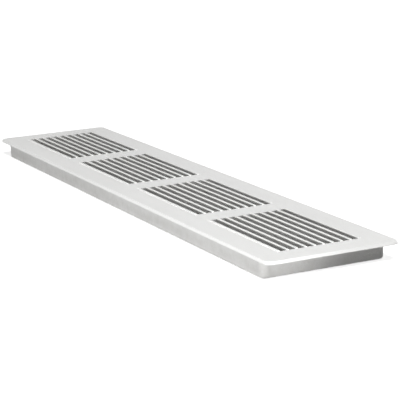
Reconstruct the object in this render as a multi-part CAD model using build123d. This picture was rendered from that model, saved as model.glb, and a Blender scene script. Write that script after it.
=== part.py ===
from build123d import *
import math
import os

# Recessed ventilation grille, moulded in one piece.
# A flat face plate with a bevelled rim carries four windows of fixed louvre slats. A shallow open
# collar under the plate plugs into a cut-out in a panel, and the rim covers the edge of that cut-out.
# Units are millimetres. +X runs along the grille, +Y across it and +Z out of its face.
# The origin is the centre of the collar's lower edge.

os.makedirs("parts", exist_ok=True)

# Face plate and its rim
plate_length = 457.0
plate_width = 92.0
plate_thickness = 2.0
plate_corner_radius = 5.5
rim_bevel_height = 1.6
rim_bevel_slant = 30.0
rim_under_bevel = 0.2

# Collar that goes into the cut-out
collar_length = 433.0
collar_width = 86.0
collar_depth = 11.5
collar_wall = 2.4
collar_corner_radius = 5.0
collar_draft = 1.5
collar_outer_rounding = 1.7
collar_inner_bevel = 0.3

# Windows along the plate
window_count = 4
window_pitch = 109.5
crest_length = 92.0

# Louvre slats: a narrow crest with eased edges, proud of the face, on top of a leaning blade
slat_count = 10
slat_pitch = 6.2
crest_width = 1.8
crest_rise = 0.5
crest_root = 0.3
crest_corner = 0.5
crest_bevel = 0.22
crest_seat = 0.5
blade_top_width = 1.6
blade_foot_width = 1.2
blade_foot_rounding = 0.35
blade_depth = 7.0
blade_lean = 16.0

# Well of each window: the walls under the plate that hold the ends of the blades. They flare out
# on their way down, so they fall back under the edge of the opening.
well_wall = 1.6
well_flare = 30.0
well_corner_radius = 1.2

# Levels and sizes that follow from the ones above
plate_under = collar_depth
plate_face = plate_under + plate_thickness
blade_foot = plate_face - blade_depth
well_inner_length = crest_length - 2 * crest_seat
well_inner_width = slat_pitch * (slat_count - 1) + crest_width - 2 * crest_seat
well_outer_length = well_inner_length + 2 * well_wall
well_outer_width = well_inner_width + 2 * well_wall
well_spread = math.tan(math.radians(well_flare)) * blade_depth


def row(count, pitch):
    """Places of evenly spaced items on both sides of zero."""
    return [pitch * (i - (count - 1) / 2) for i in range(count)]


def face_plate():
    """The flat plate. Its rim rises straight from the underside and then slants in to the face."""
    outline = RectangleRounded(plate_length, plate_width, plate_corner_radius)
    straight_height = plate_thickness - rim_bevel_height
    straight = extrude(Plane.XY.offset(plate_under) * outline, straight_height)
    slanted_from = Plane.XY.offset(plate_under + straight_height)
    slanted = extrude(slanted_from * outline, rim_bevel_height, taper=rim_bevel_slant)
    plate = straight + slanted
    return chamfer(plate.edges().group_by(Axis.Z)[0], rim_under_bevel)


def drafted_block(length, width, corner_radius):
    """A block below the plate that narrows towards the collar's lower edge."""
    outline = Plane.XY.offset(plate_under) * RectangleRounded(length, width, corner_radius)
    return extrude(outline, -collar_depth, taper=collar_draft)


def collar():
    """The open collar, with a well rounded outer edge at its foot."""
    outside = drafted_block(collar_length, collar_width, collar_corner_radius)
    outside = fillet(outside.edges().group_by(Axis.Z)[0], collar_outer_rounding)
    inside = drafted_block(
        collar_length - 2 * collar_wall,
        collar_width - 2 * collar_wall,
        collar_corner_radius - collar_wall,
    )
    ring = outside - inside
    inner_loop = ring.faces().sort_by(Axis.Z)[0].inner_wires()[0]
    return chamfer(inner_loop.edges(), collar_inner_bevel)


def flared_down(outline):
    """A block from the plate's face down to the foot of the blades, flaring out on its way."""
    return extrude(Plane.XY.offset(plate_face) * outline, -blade_depth, taper=-well_flare)


def well_walls():
    """The walls of one window, still solid inside."""
    return flared_down(RectangleRounded(well_outer_length, well_outer_width, well_corner_radius))


def air_way():
    """The opening of one window, through the plate and down between its walls."""
    return flared_down(Rectangle(well_inner_length, well_inner_width))


def blade_profile():
    """Section of one blade under its crest: leaning back and tapering to a rounded foot."""
    foot_shift = math.tan(math.radians(blade_lean)) * blade_depth
    corners = [
        (-blade_top_width / 2, plate_face),
        (foot_shift - blade_foot_width / 2, blade_foot),
        (foot_shift + blade_foot_width / 2, blade_foot),
        (blade_top_width / 2, plate_face),
    ]
    section = Polygon(*corners, align=None)
    return fillet(section.vertices().group_by(Axis.Y)[0], blade_foot_rounding)


def blade():
    """One leaning blade, long enough to run right through the walls of its well."""
    reach = well_outer_length / 2 + well_spread
    return extrude(Plane.YZ * blade_profile(), reach, both=True)


def crest():
    """The narrow bar on top of a blade, with clipped corners and eased upper edges."""
    outline = Rectangle(crest_length, crest_width)
    outline = chamfer(outline.vertices(), crest_corner)
    bar = extrude(Plane.XY.offset(plate_face - crest_root) * outline, crest_root + crest_rise)
    return chamfer(bar.edges().group_by(Axis.Z)[-1], crest_bevel)


def louvre():
    """All the slats of one window, with the blades cut off at the outer faces of the walls."""
    places = [Pos(0, y, 0) for y in row(slat_count, slat_pitch)]
    one_blade = blade()
    one_crest = crest()
    blades = Part() + [place * one_blade for place in places]
    return (blades & well_walls()) + [place * one_crest for place in places]


def grille():
    """The whole moulding."""
    windows = [Pos(x, 0, 0) for x in row(window_count, window_pitch)]
    body = face_plate() + collar() + [place * well_walls() for place in windows]
    body = body - [place * air_way() for place in windows]
    comb = louvre()
    return body + [place * comb for place in windows]


moulding = grille()
export_step(moulding, "parts/grille.step")
print("solids", len(moulding.solids()), "volume", round(moulding.volume / 1000, 2), "cm3")
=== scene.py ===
import math
import bpy
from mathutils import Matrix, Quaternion, Vector


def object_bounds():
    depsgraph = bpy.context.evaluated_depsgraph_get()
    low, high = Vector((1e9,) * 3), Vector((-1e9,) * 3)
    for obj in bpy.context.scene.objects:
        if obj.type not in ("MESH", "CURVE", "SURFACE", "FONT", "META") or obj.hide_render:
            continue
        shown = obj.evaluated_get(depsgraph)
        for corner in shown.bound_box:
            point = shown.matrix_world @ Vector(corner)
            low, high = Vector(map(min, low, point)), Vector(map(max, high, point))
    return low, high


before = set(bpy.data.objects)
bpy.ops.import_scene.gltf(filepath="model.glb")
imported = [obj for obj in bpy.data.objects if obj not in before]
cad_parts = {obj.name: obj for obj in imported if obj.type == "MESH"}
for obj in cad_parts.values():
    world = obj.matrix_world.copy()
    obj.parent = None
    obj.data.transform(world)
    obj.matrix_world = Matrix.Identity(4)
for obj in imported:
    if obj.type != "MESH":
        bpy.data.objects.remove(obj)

# The looks of the ventilation grille: satin plastic on its CAD solid, a pale floor, a white sky,
# soft lamps and the drawing's camera.
# Metres, in the frame of the part: +X along the grille, +Y to its back, +Z out of its face. The
# floor is at zero. In the drawing the end at +X is the near one.
CAD_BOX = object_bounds()
LOW, HIGH = CAD_BOX
END = HIGH[0]
FRONT = LOW[1]
BACK = HIGH[1]
TOP = HIGH[2]
MIDDLE = (0.0, 0.0, 0.0)

# Camera: its place, its angles in degrees, and its lens and sensor in millimetres
CAMERA_PLACE = (1.0044, -0.4660, 0.2579)
CAMERA_AZIMUTH = 63.99
CAMERA_ELEVATION = 13.15
CAMERA_ROLL = -1.90
CAMERA_LENS = 143.4
CAMERA_SENSOR = 36.0
CAMERA_REACH = (0.01, 50.0)

# Colours of the plastic: where it is clear, in its clouds, on its edges (rubbing with a painted
# highlight, lighter than the rest), and a grey for dust motes and for painted shade with dust in
# the gaps
PLASTIC_WHITE = (0.835, 0.835, 0.825, 1)
PLASTIC_CLOUD = (0.800, 0.800, 0.785, 1)
PLASTIC_EDGE_HIGHLIGHT = (0.870, 0.870, 0.865, 1)
DUST_AND_SHADE_GREY = (0.56, 0.545, 0.52, 1)

# How far the painted shade with dust in the gaps, the dust motes, and the painted edge highlight
# with rubbing change the colour
DUST_AND_SHADE_SHOWN = 0.4
MOTES_SHOWN = 0.35
EDGE_HIGHLIGHT_SHOWN = 0.4

# Roughness in the clouds and where it is clear, and how far dust, rubbing and scuffs change it
ROUGH_CLOUD = 0.47
ROUGH_CLEAR = 0.38
DUST_ROUGHENS = 0.2
RUBBING_SMOOTHS = 0.08
SCUFFS_SMOOTH = 0.12

# Noise of the plastic's patterns: waves per metre, detail and roughness
CLOUD_NOISE = (38.0, 4.0, 0.6)
WAVE_NOISE = (45.0, 2.0, 0.5)
GRAIN_NOISE = (1500.0, 4.0, 0.6)
DUST_AND_SHADE_NOISE = (160.0, 5.0, 0.65)
MOTE_NOISE = (1900.0, 1.0, 0.5)
SCUFF_LINE_NOISE = (1.0, 1.0, 0.5)
SCUFF_PATCH_NOISE = (30.0, 2.0, 0.5)

# The part of a noise, or of a match of two normals, over which a pattern comes in
CLOUD_RANGE = (0.3, 0.7)
DUST_AND_SHADE_RANGE = (0.35, 0.7)
MOTE_RANGE = (0.70, 0.76)
SCUFF_LINE_RANGE = (0.70, 0.74)
SCUFF_PATCH_RANGE = (0.52, 0.62)
EDGE_MASK_RANGE = (1.0, 0.9)

# Painted shade with dust in the gaps: it deepens from the plate's face down to the blades' feet,
# and never falls below this share
FACE = TOP - 0.0005
FOOT = TOP - 0.0075
DUST_AND_SHADE_LEAST = 0.3

# Clouds and waves are drawn out along the grille. Scuffs are lines at two turns, in degrees.
FLOW_STRETCH = (0.25, 1.0, 1.0)
SCUFF_STRETCH = (60.0, 2200.0, 60.0)
SCUFF_TURNS = (12.0, -33.0)
# Width and samples of the edge mask, for the painted edge highlight and for the rubbing
EDGE_MASK_WIDTH = 0.0003
EDGE_MASK_SAMPLES = 4

# Relief of the plastic: strength, and height in metres
WAVE_RELIEF = (0.3, 0.0004)
GRAIN_RELIEF = (0.8, 0.0002)
SCUFF_RELIEF = (0.5, 0.00003)

# Floor: its size, height and paper. It lies a hair below the grille.
FLOOR_HALF = 6.0
FLOOR_HEIGHT = -0.00005
PAPER_DARK = (0.77, 0.77, 0.77, 1)
PAPER_LIGHT = (0.82, 0.82, 0.82, 1)
PAPER_BOUNCE = (0.15, 0.15, 0.15, 1)
FIBRE_NOISE = (900.0, 4.0, 0.5)
FIBRE_RANGE = (0.3, 0.7)

# Glow that keeps the floor white: full far from the grille, less near it, so that its shadow shows,
# and almost none inside the collar, where the real floor is dark
GLOW_RANGE = (0.35, 0.9)
GLOW_NEAR = 0.72
GLOW_FAR = 1.0
GLOW_INSIDE = 0.05
COLLAR_FOOT_HALF = (0.2152, 0.0416)
COLLAR_FOOT_WALL = 0.002

# Sky: its strength where it is seen or mirrored, and as fill on all surfaces
WHITE = (1, 1, 1, 1)
SKY_SEEN = 1.0
SKY_FILL = 0.12

# Soft boxes: name, place, target, width, depth and power in watts. The key makes the near end of
# the face the brighter one. The front lamp is so low that it lights the collar's side and not the
# windows. The others are for the sides that the drawing doesn't show.
SOFT_BOXES = (
    ("key", (1.43, -0.48, 1.79), MIDDLE, 0.65, 0.40, 47.5),
    ("front", (0.24, -0.62, 0.042), (0.08, FRONT, 0.006), 0.40, 0.04, 2.1),
    ("back", (-0.25, 0.95, 0.10), (0.0, BACK, 0.006), 0.6, 0.08, 2.4),
    ("below", (0.0, 0.55, -0.85), MIDDLE, 0.6, 0.3, 2.6),
)

# Spot on the front corner of the collar's near end, which then fades to dark towards its back
CORNER_PLACE = (END + 0.50, FRONT + 0.05, 0.02)
CORNER_TARGET = (END, FRONT - 0.004, 0.006)
CORNER_CONE = 14.0
CORNER_RADIUS = 0.02
CORNER_POWER = 5.0

# Sockets of Blender's Mix node when it mixes colours
MIX_AMOUNT, MIX_FIRST, MIX_SECOND = 0, 6, 7
MIX_RESULT = 2


def link(thing):
    """Puts an object in the scene."""
    bpy.context.scene.collection.objects.link(thing)
    return thing


def make_camera():
    data = bpy.data.cameras.new("camera")
    data.lens = CAMERA_LENS
    data.sensor_width = CAMERA_SENSOR
    data.clip_start, data.clip_end = CAMERA_REACH
    camera = link(bpy.data.objects.new("camera", data))
    camera.location = CAMERA_PLACE
    camera.rotation_mode = "QUATERNION"
    around = math.radians(CAMERA_AZIMUTH)
    up = math.radians(CAMERA_ELEVATION)
    flat = math.cos(up)
    towards = Vector((math.sin(around) * flat, -math.cos(around) * flat, math.sin(up)))
    roll = Quaternion((0.0, 0.0, 1.0), math.radians(CAMERA_ROLL))
    camera.rotation_quaternion = towards.to_track_quat("Z", "Y") @ roll
    bpy.context.scene.camera = camera


def add_node(tree, kind, inputs=None, **settings):
    """A node of that kind, with its settings, and its inputs filled in or linked."""
    made = tree.nodes.new(kind)
    for name, value in settings.items():
        setattr(made, name, value)
    for name, value in (inputs or {}).items():
        if isinstance(value, bpy.types.NodeSocket):
            tree.links.new(value, made.inputs[name])
        else:
            made.inputs[name].default_value = value
    return made


def noise(tree, place, scale, detail, rough):
    """Smooth noise from 0 to 1; scale is its waves per metre."""
    inputs = {"Vector": place, "Scale": scale, "Detail": detail, "Roughness": rough}
    return add_node(tree, "ShaderNodeTexNoise", inputs).outputs["Fac"]


def spread(tree, value, low, high, to_low=0.0, to_high=1.0):
    """The value moved from one range to another and held inside it."""
    ends = {"From Min": low, "From Max": high, "To Min": to_low, "To Max": to_high}
    return add_node(tree, "ShaderNodeMapRange", {"Value": value, **ends}).outputs["Result"]


def maths(tree, operation, first, second):
    inputs = {0: first, 1: second}
    return add_node(tree, "ShaderNodeMath", inputs, operation=operation).outputs[0]


def times(tree, first, second):
    return maths(tree, "MULTIPLY", first, second)


def mapped(tree, place, **settings):
    """The coordinates, turned or scaled."""
    inputs = {name.capitalize(): value for name, value in settings.items()}
    return add_node(tree, "ShaderNodeMapping", {"Vector": place, **inputs}).outputs[0]


def blend(tree, amount, first, second):
    """A colour between the first and the second."""
    inputs = {MIX_AMOUNT: amount, MIX_FIRST: first, MIX_SECOND: second}
    return add_node(tree, "ShaderNodeMix", inputs, data_type="RGBA").outputs[MIX_RESULT]


def either_shader(tree, amount, first, second):
    """The first shader at 0 and the second at 1."""
    inputs = {0: amount, 1: first.outputs[0], 2: second.outputs[0]}
    return add_node(tree, "ShaderNodeMixShader", inputs)


def bump(tree, height, strength, distance, under=None):
    """Relief, on top of the relief under it."""
    inputs = {"Height": height, "Strength": strength, "Distance": distance}
    if under is not None:
        inputs["Normal"] = under
    return add_node(tree, "ShaderNodeBump", inputs).outputs[0]


def seen_or_mirrored(tree):
    """1 for rays from the camera, or through glass or off a mirror, and 0 for gathered light."""
    path = add_node(tree, "ShaderNodeLightPath").outputs
    seen = maths(tree, "MAXIMUM", path["Is Camera Ray"], path["Is Glossy Ray"])
    return maths(tree, "MAXIMUM", seen, path["Is Transmission Ray"])


# Mask for the painted highlight on the edges, and for their rubbing in the roughness
def highlit_and_rubbed_edges(tree):
    """1 on the sharp edges of the moulding, falling to 0 a few tenths of a millimetre off them."""
    eased = add_node(tree, "ShaderNodeBevel", {"Radius": EDGE_MASK_WIDTH}, samples=EDGE_MASK_SAMPLES)
    true = add_node(tree, "ShaderNodeNewGeometry")
    normals = {0: eased.outputs[0], 1: true.outputs["Normal"]}
    alike = add_node(tree, "ShaderNodeVectorMath", normals, operation="DOT_PRODUCT")
    return spread(tree, alike.outputs["Value"], *EDGE_MASK_RANGE)


def scratches(tree, place, turn):
    """Thin broken lines, a centimetre or two long, that run at that turn about the vertical."""
    turned = mapped(tree, place, rotation=(0.0, 0.0, math.radians(turn)))
    drawn = mapped(tree, turned, scale=SCUFF_STRETCH)
    lines = spread(tree, noise(tree, drawn, *SCUFF_LINE_NOISE), *SCUFF_LINE_RANGE)
    patches = spread(tree, noise(tree, place, *SCUFF_PATCH_NOISE), *SCUFF_PATCH_RANGE)
    return times(tree, lines, patches)


def plastic():
    """Satin white plastic: a fine moulded grain and slow flow waves, faint clouds in its colour
    and gloss, painted shade with dust in the gaps between the blades, darker towards their feet,
    light scuffs, and edges smoother from rubbing and painted brighter as a highlight."""
    material = bpy.data.materials.new("white_plastic")
    material.use_nodes = True
    tree = material.node_tree
    shader = tree.nodes["Principled BSDF"]
    place = add_node(tree, "ShaderNodeTexCoord").outputs["Object"]
    height = add_node(tree, "ShaderNodeSeparateXYZ", {0: place}).outputs["Z"]
    along = mapped(tree, place, scale=FLOW_STRETCH)

    clear = spread(tree, noise(tree, along, *CLOUD_NOISE), *CLOUD_RANGE)
    edges = highlit_and_rubbed_edges(tree)
    scuffs = maths(tree, "MAXIMUM", *[scratches(tree, place, turn) for turn in SCUFF_TURNS])
    # Painted shade with dust: darker from the plate's face down to the blades' feet, in patches
    depth = spread(tree, height, FACE, FOOT)
    patches = spread(tree, noise(tree, place, *DUST_AND_SHADE_NOISE), *DUST_AND_SHADE_RANGE, DUST_AND_SHADE_LEAST, 1.0)
    dust_and_shade = times(tree, depth, patches)
    motes = spread(tree, noise(tree, place, *MOTE_NOISE), *MOTE_RANGE)

    colour = blend(tree, clear, PLASTIC_CLOUD, PLASTIC_WHITE)
    # Painted shade with dust, deeper into the gaps between the blades
    colour = blend(tree, times(tree, dust_and_shade, DUST_AND_SHADE_SHOWN), colour, DUST_AND_SHADE_GREY)
    # Dust motes, specks at random
    colour = blend(tree, times(tree, motes, MOTES_SHOWN), colour, DUST_AND_SHADE_GREY)
    # Painted highlight on the sharp edges, with rubbing
    colour = blend(tree, times(tree, edges, EDGE_HIGHLIGHT_SHOWN), colour, PLASTIC_EDGE_HIGHLIGHT)
    tree.links.new(colour, shader.inputs["Base Color"])

    rough = spread(tree, clear, 0.0, 1.0, ROUGH_CLOUD, ROUGH_CLEAR)
    rough = maths(tree, "ADD", rough, times(tree, dust_and_shade, DUST_ROUGHENS))
    rough = maths(tree, "SUBTRACT", rough, times(tree, edges, RUBBING_SMOOTHS))
    rough = maths(tree, "SUBTRACT", rough, times(tree, scuffs, SCUFFS_SMOOTH))
    tree.links.new(rough, shader.inputs["Roughness"])

    waves = bump(tree, noise(tree, along, *WAVE_NOISE), *WAVE_RELIEF)
    grain = bump(tree, noise(tree, place, *GRAIN_NOISE), *GRAIN_RELIEF, waves)
    scored = bump(tree, times(tree, scuffs, -1.0), *SCUFF_RELIEF, grain)
    tree.links.new(scored, shader.inputs["Normal"])
    return material


def floor_glow(tree, place):
    """The floor's glow, by its distance from the grille and by whether it is inside the collar."""
    away = add_node(tree, "ShaderNodeVectorMath", {0: place}, operation="LENGTH").outputs["Value"]
    level = spread(tree, away, *GLOW_RANGE, GLOW_NEAR, GLOW_FAR)
    axes = add_node(tree, "ShaderNodeSeparateXYZ", {0: place}).outputs
    beyond = [
        maths(tree, "SUBTRACT", maths(tree, "ABSOLUTE", axes[i], 0.0), COLLAR_FOOT_HALF[i])
        for i in range(2)
    ]
    farthest = maths(tree, "MAXIMUM", *beyond)
    outside = spread(tree, farthest, -COLLAR_FOOT_WALL, 0.0, GLOW_INSIDE, 1.0)
    return times(tree, level, outside)


def floor_paper():
    """White paper that shows a soft contact shadow but throws little light back on the grille. From
    below, and for the lamps there, it is clear, so that the underside is seen and lit."""
    material = bpy.data.materials.new("floor_paper")
    material.use_nodes = True
    tree = material.node_tree
    tree.nodes.clear()
    place = add_node(tree, "ShaderNodeTexCoord").outputs["Object"]
    fibres = spread(tree, noise(tree, place, *FIBRE_NOISE), *FIBRE_RANGE)
    tone = blend(tree, fibres, PAPER_DARK, PAPER_LIGHT)
    paper = add_node(tree, "ShaderNodeBsdfDiffuse", {"Color": tone})
    glow = add_node(tree, "ShaderNodeEmission", {"Strength": floor_glow(tree, place)})
    both = add_node(tree, "ShaderNodeAddShader", {0: paper.outputs[0], 1: glow.outputs[0]})
    dim = add_node(tree, "ShaderNodeBsdfDiffuse", {"Color": PAPER_BOUNCE})
    above = either_shader(tree, seen_or_mirrored(tree), dim, both)
    from_below = add_node(tree, "ShaderNodeNewGeometry").outputs["Backfacing"]
    to_a_lamp = add_node(tree, "ShaderNodeLightPath").outputs["Is Shadow Ray"]
    see_through = maths(tree, "MAXIMUM", from_below, to_a_lamp)
    sided = either_shader(tree, see_through, above, add_node(tree, "ShaderNodeBsdfTransparent"))
    add_node(tree, "ShaderNodeOutputMaterial", {"Surface": sided.outputs[0]})
    return material


def make_floor():
    mesh = bpy.data.meshes.new("floor")
    h = FLOOR_HALF
    z = FLOOR_HEIGHT
    mesh.from_pydata([(-h, -h, z), (h, -h, z), (h, h, z), (-h, h, z)], [], [(0, 1, 2, 3)])
    mesh.materials.append(floor_paper())
    link(bpy.data.objects.new("floor", mesh))


def make_sky():
    """White sky where it is seen or mirrored, and a faint even fill for all other light."""
    world = bpy.data.worlds.new("studio")
    bpy.context.scene.world = world
    world.use_nodes = True
    tree = world.node_tree
    tree.nodes.clear()
    fill = add_node(tree, "ShaderNodeBackground", {"Color": WHITE, "Strength": SKY_FILL})
    seen = add_node(tree, "ShaderNodeBackground", {"Color": WHITE, "Strength": SKY_SEEN})
    sky = either_shader(tree, seen_or_mirrored(tree), fill, seen)
    add_node(tree, "ShaderNodeOutputWorld", {"Surface": sky.outputs[0]})


def hang_lamp(name, data, place, target):
    """Puts a lamp in its place, pointing at the target."""
    lamp = link(bpy.data.objects.new(name, data))
    lamp.location = place
    lamp.rotation_mode = "QUATERNION"
    lamp.rotation_quaternion = (Vector(place) - Vector(target)).to_track_quat("Z", "Y")


def make_soft_box(name, place, target, width, depth, power):
    data = bpy.data.lights.new(name, "AREA")
    data.shape = "RECTANGLE"
    data.size = width
    data.size_y = depth
    data.energy = power
    hang_lamp(name, data, place, target)


def make_corner_spot():
    data = bpy.data.lights.new("corner", "SPOT")
    data.spot_size = math.radians(CORNER_CONE)
    data.spot_blend = 1.0
    data.shadow_soft_size = CORNER_RADIUS
    data.energy = CORNER_POWER
    hang_lamp("corner", data, CORNER_PLACE, CORNER_TARGET)


make_camera()
make_floor()
make_sky()
for box in SOFT_BOXES:
    make_soft_box(*box)
make_corner_spot()
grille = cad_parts["grille"]
grille.data.materials.clear()
grille.data.materials.append(plastic())
bpy.context.scene.view_settings.view_transform = "Standard"
